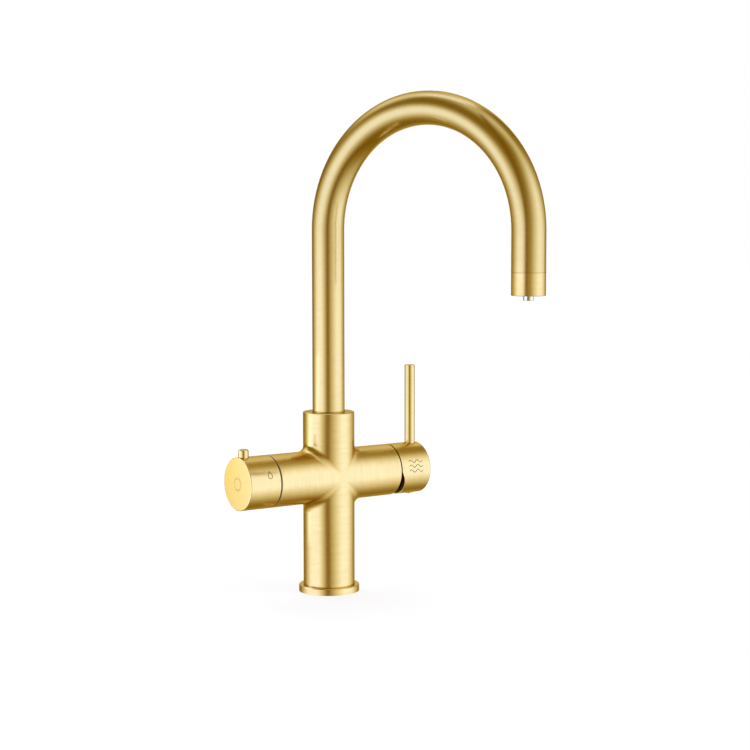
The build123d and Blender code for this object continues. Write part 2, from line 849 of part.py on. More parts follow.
makers = {
    "tap_body": make_tap_body,
    "inlet_block": make_inlet_block,
    "base_ring": make_base_ring,
    "base_seal": make_base_seal,
    "collar_ring": make_collar_ring,
    "spout_bush": make_spout_bush,
    "spout_washer": make_spout_washer,
    "spout_foot": make_spout_foot,
    "spout_foot_seals": make_foot_seals,
    "spout_tube": make_spout_tube,
    "boiling_stem": make_boiling_stem,
    "boiling_stem_seal": make_stem_seal,
    "boiling_hose": make_boiling_hose,
    "boiling_outlet_tube": make_outlet_tube,
    "nozzle": make_nozzle,
    "nozzle_seal": make_nozzle_seal,
    "flow_former": make_flow_former,
    "knob_seam_ring": make_seam_ring,
    "boiling_knob": make_boiling_knob,
    "knob_thumb_pin": make_thumb_pin,
    "knob_screw": make_knob_screw,
    "safety_button": make_safety_button,
    "button_clip": make_button_clip,
    "button_spring": make_button_spring,
    "boiling_valve_body": make_valve_body,
    "boiling_valve_seal": make_valve_seal,
    "boiling_fixed_disc": make_valve_fixed_disc,
    "boiling_moving_disc": make_valve_moving_disc,
    "boiling_spindle": make_valve_spindle,
    "boiling_spindle_seal": make_spindle_seal,
    "mixer_cartridge_shell": make_cartridge_shell,
    "mixer_cartridge_base": make_cartridge_base,
    "mixer_cartridge_seals": make_cartridge_seals,
    "mixer_fixed_disc": make_mixer_fixed_disc,
    "mixer_moving_disc": make_mixer_moving_disc,
    "mixer_disc_driver": make_disc_driver,
    "mixer_guide": make_mixer_guide,
    "mixer_pivot_pin": make_pivot_pin,
    "mixer_cartridge_nut": make_cartridge_nut,
    "lever_spindle": make_lever_spindle,
    "mixer_cap": make_mixer_cap,
    "lever_rod": make_lever_rod,
    "handle_screw": make_handle_screw,
    "handle_plug": make_handle_plug,
}

os.makedirs("parts", exist_ok=True)
for name, make in makers.items():
    export_step(make(), f"parts/{name}.step")
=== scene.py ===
import math

import bmesh
import bpy
from mathutils import Matrix, Vector


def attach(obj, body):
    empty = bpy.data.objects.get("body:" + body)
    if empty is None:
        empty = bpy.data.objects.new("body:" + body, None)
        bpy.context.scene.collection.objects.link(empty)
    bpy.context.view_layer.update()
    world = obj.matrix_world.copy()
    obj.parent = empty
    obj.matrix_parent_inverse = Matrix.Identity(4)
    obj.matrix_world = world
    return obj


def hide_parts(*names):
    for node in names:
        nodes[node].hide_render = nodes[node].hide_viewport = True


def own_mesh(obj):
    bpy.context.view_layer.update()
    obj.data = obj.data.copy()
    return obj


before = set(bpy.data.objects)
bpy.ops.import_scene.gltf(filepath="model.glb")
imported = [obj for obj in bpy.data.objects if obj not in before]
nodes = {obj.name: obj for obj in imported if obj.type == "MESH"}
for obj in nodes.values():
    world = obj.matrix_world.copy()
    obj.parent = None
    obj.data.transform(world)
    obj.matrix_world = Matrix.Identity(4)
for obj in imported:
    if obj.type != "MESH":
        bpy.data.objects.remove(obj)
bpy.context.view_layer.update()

# Sizes are in metres where nothing else is said. A window is four numbers: a lower limit, an upper
# limit, and the widths of the two slopes there.

# Places that repeat the CAD source
ARM_HEIGHT = 0.0905
ARM_RADIUS = 0.02025
KNOB_END = -0.08245
KNOB_AXIS_X = -0.07715
LEVER_AXIS_X = 0.07808
NECK_RADIUS = 0.0897
NECK_CENTRE_HEIGHT = 0.28085
SPOUT_ANGLE = math.radians(-71.2)
SPOUT_OUTWARD = (math.cos(SPOUT_ANGLE), math.sin(SPOUT_ANGLE), 0.0)
OUTLET = (2 * NECK_RADIUS * SPOUT_OUTWARD[0], 2 * NECK_RADIUS * SPOUT_OUTWARD[1])
NOZZLE_SEAM_HEIGHT = 0.2511
MARK_RING_RADIUS = 0.0041

# Directions and straight axes. An axis is its direction and its place in the other two directions.
ALONG_X = (1.0, 0.0, 0.0)
ALONG_Z = (0.0, 0.0, 1.0)
ARM_AXIS = (ALONG_X, (0.0, ARM_HEIGHT))
COLUMN_AXIS = (ALONG_Z, (0.0, 0.0))
OUTLET_AXIS = (ALONG_Z, OUTLET)
THUMB_PIN_AXIS = (ALONG_Z, (KNOB_AXIS_X, 0.0))
LEVER_AXIS = (ALONG_Z, (LEVER_AXIS_X, 0.0))


# Helpers that add shader nodes

class Graph:
    """One node tree. A value is a number, a vector, a colour or a socket."""

    def __init__(self, tree):
        self.tree = tree

    def add(self, kind, **settings):
        node = self.tree.nodes.new(kind)
        for name, value in settings.items():
            setattr(node, name, value)
        return node

    def put(self, socket, value):
        if isinstance(value, bpy.types.NodeSocket):
            self.tree.links.new(value, socket)
        else:
            socket.default_value = value

    def put_colour(self, socket, colour):
        self.put(socket, colour if isinstance(colour, bpy.types.NodeSocket) else (*colour, 1.0))

    def put_output(self, kind, shader):
        self.put(self.add(kind).inputs[0], shader)

    # The methods from here on return a socket

    def coordinates(self, kind):
        return self.add("ShaderNodeTexCoord").outputs[kind]

    def math(self, operation, *values):
        node = self.add("ShaderNodeMath", operation=operation)
        for socket, value in zip(node.inputs, values):
            self.put(socket, value)
        return node.outputs[0]

    def vector(self, operation, *values):
        node = self.add("ShaderNodeVectorMath", operation=operation)
        for socket, value in zip(node.inputs, values):
            self.put(socket, value)
        return node.outputs["Value" if operation in ("DOT_PRODUCT", "LENGTH") else "Vector"]

    def scaled(self, vector, factor):
        node = self.add("ShaderNodeVectorMath", operation="SCALE")
        self.put(node.inputs[0], vector)
        self.put(node.inputs["Scale"], factor)
        return node.outputs[0]

    def split(self, vector):
        node = self.add("ShaderNodeSeparateXYZ")
        self.put(node.inputs[0], vector)
        return node.outputs[0], node.outputs[1], node.outputs[2]

    def join(self, x, y, z):
        node = self.add("ShaderNodeCombineXYZ")
        for socket, value in zip(node.inputs, (x, y, z)):
            self.put(socket, value)
        return node.outputs[0]

    def ease(self, value, low, high, start=0.0, end=1.0):
        """Goes smoothly from start to end as the value goes from low to high."""
        node = self.add("ShaderNodeMapRange", interpolation_type="SMOOTHSTEP")
        for socket, number in zip(node.inputs, (value, low, high, start, end)):
            self.put(socket, number)
        return node.outputs[0]

    def window(self, value, low, high, low_edge, high_edge):
        """Is 1 inside a window and 0 outside it."""
        rise = self.ease(value, low - low_edge / 2, low + low_edge / 2)
        fall = self.ease(value, high - high_edge / 2, high + high_edge / 2, 1.0, 0.0)
        return self.math("MULTIPLY", rise, fall)

    def mix(self, factor, first, second):
        """Mixes two numbers."""
        node = self.add("ShaderNodeMix", data_type="FLOAT")
        self.put(node.inputs[0], factor)
        self.put(node.inputs[2], first)
        self.put(node.inputs[3], second)
        return node.outputs[0]

    def mix_vector(self, factor, first, second):
        node = self.add("ShaderNodeMix", data_type="VECTOR")
        self.put(node.inputs[0], factor)
        self.put(node.inputs[4], first)
        self.put(node.inputs[5], second)
        return node.outputs[1]

    def mix_colour(self, factor, first, second):
        node = self.add("ShaderNodeMix", data_type="RGBA")
        self.put(node.inputs[0], factor)
        self.put_colour(node.inputs[6], first)
        self.put_colour(node.inputs[7], second)
        return node.outputs[2]

    def mix_shaders(self, factor, first, second):
        node = self.add("ShaderNodeMixShader")
        for socket, value in zip(node.inputs, (factor, first, second)):
            self.put(socket, value)
        return node.outputs[0]

    def light(self, kind, colour, strength=1.0):
        """A background or an emission."""
        node = self.add(kind)
        self.put_colour(node.inputs["Color"], colour)
        self.put(node.inputs["Strength"], strength)
        return node.outputs[0]

    def clear(self):
        return self.add("ShaderNodeBsdfTransparent").outputs[0]

    def ramp(self, value, stops):
        node = self.add("ShaderNodeValToRGB")
        self.put(node.inputs[0], value)
        elements = node.color_ramp.elements
        while len(elements) < len(stops):
            elements.new(1.0)
        for element, (place, colour) in zip(elements, stops):
            element.position = place
            element.color = (*colour, 1.0)
        return node.outputs[0]

    def noise(self, vector, detail, scale=1.0, roughness=0.5, fourth=None):
        node = self.add("ShaderNodeTexNoise")
        if fourth is not None:
            node.noise_dimensions = "4D"
            self.put(node.inputs["W"], fourth)
        self.put(node.inputs["Vector"], vector)
        node.inputs["Scale"].default_value = scale
        node.inputs["Detail"].default_value = detail
        node.inputs["Roughness"].default_value = roughness
        return node.outputs[0]

    def around(self, noise, middle, spread):
        """A noise between 0 and 1, moved to lie around a middle value."""
        return self.math("MULTIPLY_ADD", noise, 2 * spread, middle - spread)

    def bump(self, height, strength, distance):
        node = self.add("ShaderNodeBump")
        self.put(node.inputs["Strength"], strength)
        self.put(node.inputs["Distance"], distance)
        self.put(node.inputs["Height"], height)
        return node.outputs[0]


def empty_graph(owner):
    """The graph of a world or a material, without the nodes it starts with."""
    owner.use_nodes = True
    owner.node_tree.nodes.clear()
    return Graph(owner.node_tree)


def new_material(name):
    material = bpy.data.materials.new(name)
    material.use_nodes = True
    return material, Graph(material.node_tree), material.node_tree.nodes["Principled BSDF"]


# Helpers that make pieces

def add_object(name, data):
    piece = bpy.data.objects.new(name, data)
    bpy.context.scene.collection.objects.link(piece)
    return piece


def add_piece(name, shape, material):
    mesh = bpy.data.meshes.new(name)
    shape.to_mesh(mesh)
    shape.free()
    mesh.materials.append(material)
    return add_object(name, mesh)


def add_skin(shape, sections, closed=False, smooth=False):
    """Joins sections, which have as many points each, into one solid: a ring if it is closed."""
    following_sections = sections[1:] + sections[:1] if closed else sections[1:]
    for here, there in zip(sections, following_sections):
        for corner in range(len(here)):
            following = (corner + 1) % len(here)
            side = (here[corner], here[following], there[following], there[corner])
            shape.faces.new(side).smooth = smooth
    if not closed:
        shape.faces.new(sections[0])
        shape.faces.new(reversed(sections[-1]))
    bmesh.ops.recalc_face_normals(shape, faces=shape.faces)


# Camera fitted to the photograph. Lens and sensor are in millimetres, the azimuth in degrees.
CAMERA_PLACE = (-0.75860, -1.13439, 0.29132)
CAMERA_RIGHT = (0.81624857, -0.57770003, -0.00096915)
CAMERA_UP = (0.05250331, 0.07251253, 0.99598461)
CAMERA_LENS = 84.885
CAMERA_SENSOR = 36.0
CAMERA_CLIP_START = 0.01
CAMERA_AZIMUTH = -125.3


def make_camera():
    right = Vector(CAMERA_RIGHT)
    up = Vector(CAMERA_UP)
    back = right.cross(up)
    turn = Matrix((right, up, back)).transposed().to_4x4()
    camera = add_object("camera", bpy.data.cameras.new("camera"))
    camera.matrix_world = Matrix.Translation(CAMERA_PLACE) @ turn
    camera.data.lens = CAMERA_LENS
    camera.data.sensor_width = CAMERA_SENSOR
    camera.data.clip_start = CAMERA_CLIP_START
    bpy.context.scene.camera = camera


# Studio: soft boxes as regions of the world, in degrees. Each has columns, rows and a strength. The
# columns are the azimuth of the middle, counted from the camera's, the reach to the left and to the
# right of it, and the widths of the two slopes. The rows are a window of elevation.
SOFT_BOXES = {
    "left": ((-74, 33, 47, 84, 67), (-38, 9, 80, 50), 1.37),
    "right": ((70, 45, 54, 88, 83), (-47, 28, 71, 83), 1.03),
    "tall_right": ((60, 18, 31, 86, 50), (15, 74, 44, 45), 0.55),
    "high_behind_left": ((-123, 32, 14, 32, 37), (28, 90, 26, 45), 0.80),
    "behind_right": ((166, 12, 37, 21, 57), (-38, 78, 57, 4), 0.60),
}
# The elevations where the light from above begins and is full, and its strength
OVERHEAD = (48, 80, 0.46)
# The colour of the light at each level of it. A ramp holds no more than 1, so it gets the colours
# divided by LIGHT_TOP, and the strength multiplies them again.
LIGHT_COLOURS = (
    (0.00, (0.222, 0.138, 0.005)),
    (0.10, (0.300, 0.210, 0.028)),
    (0.22, (0.390, 0.300, 0.095)),
    (0.36, (0.527, 0.468, 0.254)),
    (0.52, (0.671, 0.627, 0.450)),
    (0.68, (0.811, 0.777, 0.659)),
    (0.82, (0.941, 0.937, 0.909)),
    (0.92, (1.033, 1.049, 1.106)),
    (1.00, (1.101, 1.193, 1.462)),
)
LIGHT_TOP = 1.5
# The white backdrop: camera rays see it everywhere, and reflected and refracted rays where it
# stands behind the object
BACKDROP_COLUMNS = (180, 12.5, 12.5, 2, 2)
BACKDROP_ROWS = (-17, 2, 2, 2)
BACKDROP_WHITE = (1.0, 1.0, 1.0)


def make_world():
    world = bpy.data.worlds.new("studio")
    bpy.context.scene.world = world
    graph = empty_graph(world)
    x, y, z = graph.split(graph.vector("NORMALIZE", graph.coordinates("Generated")))
    azimuth = graph.math("DEGREES", graph.math("ARCTAN2", y, x))
    elevation = graph.math("DEGREES", graph.math("ARCSINE", z))

    def region(columns, rows):
        middle, left, right, left_edge, right_edge = columns
        turned = graph.math("SUBTRACT", azimuth, CAMERA_AZIMUTH + middle)
        from_middle = graph.math("WRAP", turned, 180.0, -180.0)
        across = graph.window(from_middle, -left, right, left_edge, right_edge)
        return graph.math("MULTIPLY", across, graph.window(elevation, *rows))

    low, high, overhead_strength = OVERHEAD
    level = graph.ease(elevation, low, high, 0.0, overhead_strength)
    for columns, rows, strength in SOFT_BOXES.values():
        level = graph.math("MULTIPLY_ADD", region(columns, rows), strength, level)
    shades = [(place, [part / LIGHT_TOP for part in colour]) for place, colour in LIGHT_COLOURS]
    boxes = graph.light("ShaderNodeBackground", graph.ramp(level, shades), LIGHT_TOP)

    rays = graph.add("ShaderNodeLightPath").outputs
    indirect = graph.math("MAXIMUM", rays["Is Glossy Ray"], rays["Is Transmission Ray"])
    behind = graph.math("MULTIPLY", indirect, region(BACKDROP_COLUMNS, BACKDROP_ROWS))
    share = graph.math("MAXIMUM", rays["Is Camera Ray"], behind)
    backdrop = graph.light("ShaderNodeBackground", BACKDROP_WHITE)
    graph.put_output("ShaderNodeOutputWorld", graph.mix_shaders(share, boxes, backdrop))


# Three cards near the object, which only reflections see: a tall dark strip by the camera with soft
# sides, a small white one that lights the flat end of the boiling knob, and a narrow one between
# the lever rod and the spout that is bright on the rod's side only. Columns and rows are the limits
# to the side and in height, and a blend is where one colour goes over into the other.
DARK_CARD_AZIMUTH = math.radians(-128.0)
DARK_CARD_DISTANCE = 0.58
DARK_CARD_HALF_WIDTH = 0.087
DARK_CARD_EDGE = 0.064
DARK_CARD_ROWS = (-4.0, 3.0)
DARK_CARD_COLOUR = (0.205, 0.098, 0.0)
WHITE_CARD_HEADING = (-0.575, 0.813, -0.09)
WHITE_CARD_DISTANCE = 0.22
WHITE_CARD_COLUMNS = (-0.080, 0.036)
WHITE_CARD_ROWS = (-0.16, 0.16)
WHITE_CARD_LEAN = math.radians(50.7)
WHITE_CARD_BLEND = (-0.016, 0.012)
WHITE_CARD_COLOURS = ((1.35, 1.50, 2.30), (1.35, 1.20, 0.50))
ROD_CARD_X = 0.058
ROD_CARD_COLUMNS = (-0.008, 0.008)
ROD_CARD_ROWS = (0.100, 0.200)
ROD_CARD_COLOUR = (1.0, 1.06, 1.2)


def make_card(name, middle, side, columns, rows, lean=0.0, casts_shadow=False):
    """A flat sheet, upright or leaning, whose object coordinates are its columns and rows. Returns
    the graph of its material, which is empty."""
    left, right = columns
    bottom, top = rows
    corners = ((left, bottom), (right, bottom), (right, top), (left, top))
    shape = bmesh.new()
    shape.faces.new([shape.verts.new((across, 0.0, up)) for across, up in corners])
    material = bpy.data.materials.new(name)
    graph = empty_graph(material)
    material.cycles.emission_sampling = "NONE"
    card = add_piece(name, shape, material)
    turn = Matrix.Rotation(math.atan2(side.y, side.x), 4, "Z") @ Matrix.Rotation(lean, 4, "X")
    card.matrix_world = Matrix.Translation(middle) @ turn
    card.visible_camera = False
    card.visible_diffuse = False
    card.visible_transmission = False
    card.visible_shadow = casts_shadow
    return graph


def make_dark_card():
    toward = Vector((math.cos(DARK_CARD_AZIMUTH), math.sin(DARK_CARD_AZIMUTH), 0.0))
    middle = DARK_CARD_DISTANCE * toward
    side = Vector((toward.y, -toward.x, 0.0))
    half = DARK_CARD_HALF_WIDTH + DARK_CARD_EDGE / 2
    graph = make_card("dark_card", middle, side, (-half, half), DARK_CARD_ROWS, casts_shadow=True)
    across = graph.math("ABSOLUTE", graph.split(graph.coordinates("Object"))[0])
    mask = graph.ease(across, half - DARK_CARD_EDGE, half, 1.0, 0.0)
    shade = graph.light("ShaderNodeEmission", DARK_CARD_COLOUR)
    graph.put_output("ShaderNodeOutputMaterial", graph.mix_shaders(mask, graph.clear(), shade))


def make_white_card():
    heading = Vector(WHITE_CARD_HEADING)
    middle = Vector((KNOB_END, 0.0, ARM_HEIGHT)) + WHITE_CARD_DISTANCE * heading
    side = Vector((heading.y, -heading.x, 0.0)).normalized()
    graph = make_card(
        "white_card", middle, side, WHITE_CARD_COLUMNS, WHITE_CARD_ROWS, lean=WHITE_CARD_LEAN
    )
    share = graph.ease(graph.split(graph.coordinates("Object"))[0], *WHITE_CARD_BLEND)
    colour = graph.mix_colour(share, *WHITE_CARD_COLOURS)
    graph.put_output("ShaderNodeOutputMaterial", graph.light("ShaderNodeEmission", colour))


def make_rod_card():
    middle, side = Vector((ROD_CARD_X, 0.0, 0.0)), Vector((0.0, 1.0, 0.0))
    graph = make_card("rod_card", middle, side, ROD_CARD_COLUMNS, ROD_CARD_ROWS)
    away = graph.add("ShaderNodeNewGeometry").outputs["Backfacing"]
    glow = graph.light("ShaderNodeEmission", ROD_CARD_COLOUR)
    graph.put_output("ShaderNodeOutputMaterial", graph.mix_shaders(away, glow, graph.clear()))


# Floor: a pale matt sheet that takes the object's shadow. The fill brings it to the backdrop's
# white for the camera. Reflections see the backdrop and the boxes through it.
FLOOR_HALF_WIDTH = 6.0
FLOOR_COLOUR = (0.8, 0.8, 0.8)
FLOOR_FILL = (0.585, 0.628, 0.75)


def make_floor():
    material = bpy.data.materials.new("floor_white")
    graph = empty_graph(material)
    matt = graph.add("ShaderNodeBsdfDiffuse")
    graph.put_colour(matt.inputs["Color"], FLOOR_COLOUR)
    seen = graph.add("ShaderNodeLightPath").outputs["Is Camera Ray"]
    both = graph.add("ShaderNodeAddShader")
    graph.put(both.inputs[0], matt.outputs[0])
    graph.put(both.inputs[1], graph.light("ShaderNodeEmission", FLOOR_FILL, seen))
    graph.put_output("ShaderNodeOutputMaterial", both.outputs[0])
    shape = bmesh.new()
    bmesh.ops.create_grid(shape, x_segments=1, y_segments=1, size=FLOOR_HALF_WIDTH)
    floor = add_piece("floor", shape, material)
    floor.visible_glossy = False


# Brushed gold. Every node was brushed round its own axis, so its grooves run round that axis. Those
# with None have an axis that changes, which neck_grooves and cross_grooves give.
GOLD_AXES = {
    "tap_body": None,
    "spout_tube": None,
    "inlet_block": COLUMN_AXIS,
    "base_ring": COLUMN_AXIS,
    "collar_ring": COLUMN_AXIS,
    "nozzle": OUTLET_AXIS,
    "boiling_knob": ARM_AXIS,
    "knob_thumb_pin": THUMB_PIN_AXIS,
    "safety_button": ARM_AXIS,
    "mixer_cap": ARM_AXIS,
    "lever_rod": LEVER_AXIS,
    "handle_plug": LEVER_AXIS,
}
GOLD = (0.995, 0.785, 0.375)
WORN_GOLD = (0.895, 0.70, 0.325)
EDGE_GOLD = (0.72, 0.56, 0.26)
# Painted highlight: a paler gold on the rims' small rounds and chamfers and on turned flat ends
LIP_HIGHLIGHT_GOLD = (1.0, 0.88, 0.58)
LINE_GOLD = (0.55, 0.38, 0.13)
UPPER_TUBE_GOLD = (0.76, 0.60, 0.29)
# Painted shade: near black on the inside of the mixer cap
PAINTED_SHADE_INSIDE = (0.045, 0.034, 0.018)
ANISOTROPY = 0.9
# Two noises: streaks that follow the grooves, and clouds. What each adds to the wear and to the
# roughness is a middle and a spread.
GROOVE_PITCH = 0.0018
GROOVE_CHANGE_ROUND = 1.5
STREAKS = {"detail": 5.0, "roughness": 0.65}
CLOUDS = {"scale": 45.0, "detail": 4.0, "roughness": 0.6}
WEAR = ((0.25, 0.9), (0.25, 0.5))
GOLD_ROUGHNESS = ((0.17, 0.03), (0.0, 0.02))
GROOVE_STRENGTH = 0.3
GROOVE_HEIGHT = 1e-5
# Half the width over which the column's grooves go over into the arms'
CROSSING_BLEND = 0.004
# Flat ends are faces whose normal runs along the axis. Their grooves are straight, but the turned
# ones are brushed round, and their whole flat end gets the lips' painted highlight. How far a face
# looks along the axis goes from 0 to 1 here, and the lips of the body begin a way from the
# crossing.
END_GROOVES = (0.0, 1.0, 0.0)
END_FACING = (0.93, 0.99)
LIP_FACING = (0.35, 0.93, 0.10, 0.10)
BODY_LIP_START = (0.040, 0.045)
TURNED_ENDS = ("base_ring",)
TURNED_FACING = (0.30, 0.40)
# The ring line on the button, which is no deeper than this from the knob's end, and the seam line
# above the nozzle, which is on the outlet's leg only
LINE_EDGE = 0.0002
RING_LINE_WIDTH = 0.0003
RING_LINE_DEPTH = (0.0002, 0.0004)
SEAM_LINE = (-0.0001, 0.0003)
OUTLET_LEG_BLEND = 0.001
# A darker gold on the tube, more of it towards the top: the heights it changes between, and its
# share at each
UPPER_TUBE_HEIGHTS = (0.21, 0.32)
UPPER_TUBE_SHARES = (0.3, 0.75)
# Painted shade on the inside of the cap: how far it lies under the arm's surface, and how its
# normal goes along x
INSIDE_DEPTH = (-0.0008, -0.0005)
INSIDE_FACING = (0.3, 0.6)


def along_and_away(graph, place, axis, centre):
    """How far a place is along a straight axis, and how far away from it."""
    x, y, z = graph.split(place)
    along, *others = (x, y, z) if axis == ALONG_X else (z, x, y)
    from_axis = [graph.math("SUBTRACT", value, middle) for value, middle in zip(others, centre)]
    return along, graph.vector("LENGTH", graph.join(*from_axis, 0.0))


def straight_depth(graph, place, axis, centre):
    """The sum of both, which is constant in a groove."""
    return graph.math("ADD", *along_and_away(graph, place, axis, centre))


def neck_grooves(graph, place):
    """The axis and depth on the swan neck, from its straight legs and its arch."""
    out = graph.vector("DOT_PRODUCT", place, SPOUT_OUTWARD)
    height = graph.math("SUBTRACT", graph.split(place)[2], NECK_CENTRE_HEIGHT)
    above = graph.math("MAXIMUM", height, 0.0)
    below = graph.math("MINIMUM", height, 0.0)
    turn = graph.math("ARCTAN2", above, graph.math("SUBTRACT", NECK_RADIUS, out))
    cosine = graph.math("COSINE", turn)
    rising = graph.scaled(ALONG_Z, cosine)
    leaning = graph.scaled(SPOUT_OUTWARD, graph.math("SINE", turn))
    leg = graph.math("MULTIPLY", below, cosine)
    depth = graph.math("MULTIPLY_ADD", turn, NECK_RADIUS, leg)
    return graph.vector("ADD", rising, leaning), depth


def cross_grooves(graph, place):
    """The axis and depth on the body: the column's above and below the arms, or else the arms'."""
    x, _, z = graph.split(place)
    up = graph.math("ABSOLUTE", graph.math("SUBTRACT", z, ARM_HEIGHT))
    nearer = graph.math("SUBTRACT", up, graph.math("ABSOLUTE", x))
    share = graph.ease(nearer, -CROSSING_BLEND, CROSSING_BLEND)
    arms = straight_depth(graph, place, *ARM_AXIS)
    column = straight_depth(graph, place, *COLUMN_AXIS)
    return graph.mix_vector(share, ALONG_X, ALONG_Z), graph.mix(share, arms, column)


def grooves(graph, node_name, place):
    if node_name == "spout_tube":
        return neck_grooves(graph, place)
    if node_name == "tap_body":
        return cross_grooves(graph, place)
    axis, centre = GOLD_AXES[node_name]
    return axis, straight_depth(graph, place, axis, centre)


def groove_direction(graph, node_name, place, axis, normal, facing):
    """Round the axis on the sides, and straight or round on the flat ends."""
    sides = graph.vector("CROSS_PRODUCT", axis, normal)
    ends = END_GROOVES
    if node_name in TURNED_ENDS:
        ends = graph.vector("NORMALIZE", graph.vector("CROSS_PRODUCT", axis, place))
    turner = graph.add(
        "ShaderNodeVectorTransform", vector_type="VECTOR", convert_from="OBJECT", convert_to="WORLD"
    )
    graph.put(turner.inputs[0], graph.mix_vector(graph.ease(facing, *END_FACING), sides, ends))
    return turner.outputs[0]


def lip_highlight_mask(graph, node_name, place, facing):
    """Where the painted highlight goes: the rims' small rounds and chamfers, and turned flat ends.
    """
    if node_name in TURNED_ENDS:
        return graph.ease(facing, *TURNED_FACING)
    lips = graph.window(facing, *LIP_FACING)
    if node_name != "tap_body":
        return lips
    x, _, z = graph.split(place)
    up = graph.math("SUBTRACT", z, ARM_HEIGHT)
    away = graph.math("MAXIMUM", graph.math("ABSOLUTE", x), graph.math("ABSOLUTE", up))
    return graph.math("MULTIPLY", lips, graph.ease(away, *BODY_LIP_START))


def button_line(graph, place):
    along, away = along_and_away(graph, place, *ARM_AXIS)
    outer = MARK_RING_RADIUS + RING_LINE_WIDTH
    ring = graph.window(away, MARK_RING_RADIUS, outer, LINE_EDGE, LINE_EDGE)
    shallow, deep = RING_LINE_DEPTH
    at_end = graph.ease(along, KNOB_END + shallow, KNOB_END + deep, 1.0, 0.0)
    return graph.math("MULTIPLY", ring, at_end)


def seam_line(graph, place):
    low, high = (NOZZLE_SEAM_HEIGHT + offset for offset in SEAM_LINE)
    line = graph.window(graph.split(place)[2], low, high, LINE_EDGE, LINE_EDGE)
    out = graph.vector("DOT_PRODUCT", place, SPOUT_OUTWARD)
    leg = graph.ease(out, NECK_RADIUS - OUTLET_LEG_BLEND, NECK_RADIUS + OUTLET_LEG_BLEND)
    return graph.math("MULTIPLY", line, leg)


# Painted shade: where the cap lies under the arm's surface and does not face along x, it is near
# black
def cap_inside_shade(graph, place, normal):
    _, away = along_and_away(graph, place, *ARM_AXIS)
    low, high = (ARM_RADIUS + offset for offset in INSIDE_DEPTH)
    inside = graph.ease(away, low, high, 1.0, 0.0)
    turned_in = graph.ease(graph.split(normal)[0], *INSIDE_FACING, 1.0, 0.0)
    return graph.math("MULTIPLY", inside, turned_in)


def special_areas(graph, node_name, place, normal):
    """Masks and colours of a node's own lines, the tube's darker top and the cap's painted shade.
    """
    if node_name == "safety_button":
        return [(button_line(graph, place), LINE_GOLD)]
    if node_name == "spout_tube":
        upper_share = graph.ease(graph.split(place)[2], *UPPER_TUBE_HEIGHTS, *UPPER_TUBE_SHARES)
        return [(upper_share, UPPER_TUBE_GOLD), (seam_line(graph, place), LINE_GOLD)]
    if node_name == "mixer_cap":
        return [(cap_inside_shade(graph, place, normal), PAINTED_SHADE_INSIDE)]
    return []


def brushed_gold(node_name):
    material, graph, shader = new_material(f"gold_{node_name}")
    place, normal = graph.coordinates("Object"), graph.coordinates("Normal")
    axis, depth = grooves(graph, node_name, place)
    lines = graph.math("DIVIDE", depth, GROOVE_PITCH)
    streaks = graph.noise(graph.scaled(normal, GROOVE_CHANGE_ROUND), fourth=lines, **STREAKS)
    clouds = graph.noise(place, **CLOUDS)

    def uneven(from_streaks, from_clouds):
        parts = graph.around(streaks, *from_streaks), graph.around(clouds, *from_clouds)
        return graph.math("ADD", *parts)

    facing = graph.math("ABSOLUTE", graph.vector("DOT_PRODUCT", axis, normal))
    colour = graph.mix_colour(uneven(*WEAR), GOLD, WORN_GOLD)
    # Painted highlight: the lips, and on turned nodes the flat ends, get a paler gold
    colour = graph.mix_colour(lip_highlight_mask(graph, node_name, place, facing), colour, LIP_HIGHLIGHT_GOLD)
    for mask, shade in special_areas(graph, node_name, place, normal):
        colour = graph.mix_colour(mask, colour, shade)
    graph.put(shader.inputs["Base Color"], colour)
    shader.inputs["Metallic"].default_value = 1.0
    shader.inputs["Anisotropic"].default_value = ANISOTROPY
    shader.inputs["Specular Tint"].default_value = (*EDGE_GOLD, 1.0)
    graph.put(shader.inputs["Roughness"], uneven(*GOLD_ROUGHNESS))
    direction = groove_direction(graph, node_name, place, axis, normal, facing)
    graph.put(shader.inputs["Tangent"], direction)
    graph.put(shader.inputs["Normal"], graph.bump(streaks, GROOVE_STRENGTH, GROOVE_HEIGHT))
    return material


# Other finishes: two colours, metallic, roughness, grain per metre and depth of the grain
FINISHES = {
    "raw_brass": ((0.80, 0.61, 0.29), (0.72, 0.53, 0.24), 1.0, 0.32, 700, 4e-6),
    "chrome": ((0.88, 0.88, 0.89), (0.82, 0.82, 0.83), 1.0, 0.06, 250, 1e-6),
    "stainless": ((0.62, 0.61, 0.59), (0.54, 0.53, 0.51), 1.0, 0.30, 900, 3e-6),
    "seam_black": ((0.15, 0.12, 0.08), (0.21, 0.17, 0.12), 0.0, 0.50, 1500, 6e-6),
    "grey_polymer": ((0.27, 0.28, 0.29), (0.23, 0.24, 0.25), 0.0, 0.42, 1800, 8e-6),
    "white_polymer": ((0.80, 0.79, 0.76), (0.74, 0.73, 0.70), 0.0, 0.38, 1500, 5e-6),
    "black_rubber": ((0.028, 0.028, 0.029), (0.045, 0.044, 0.043), 0.0, 0.60, 1200, 8e-6),
    "silicone": ((0.74, 0.74, 0.70), (0.66, 0.66, 0.62), 0.0, 0.45, 500, 5e-6),
    "ceramic": ((0.84, 0.83, 0.80), (0.78, 0.77, 0.74), 0.0, 0.18, 900, 2e-6),
}
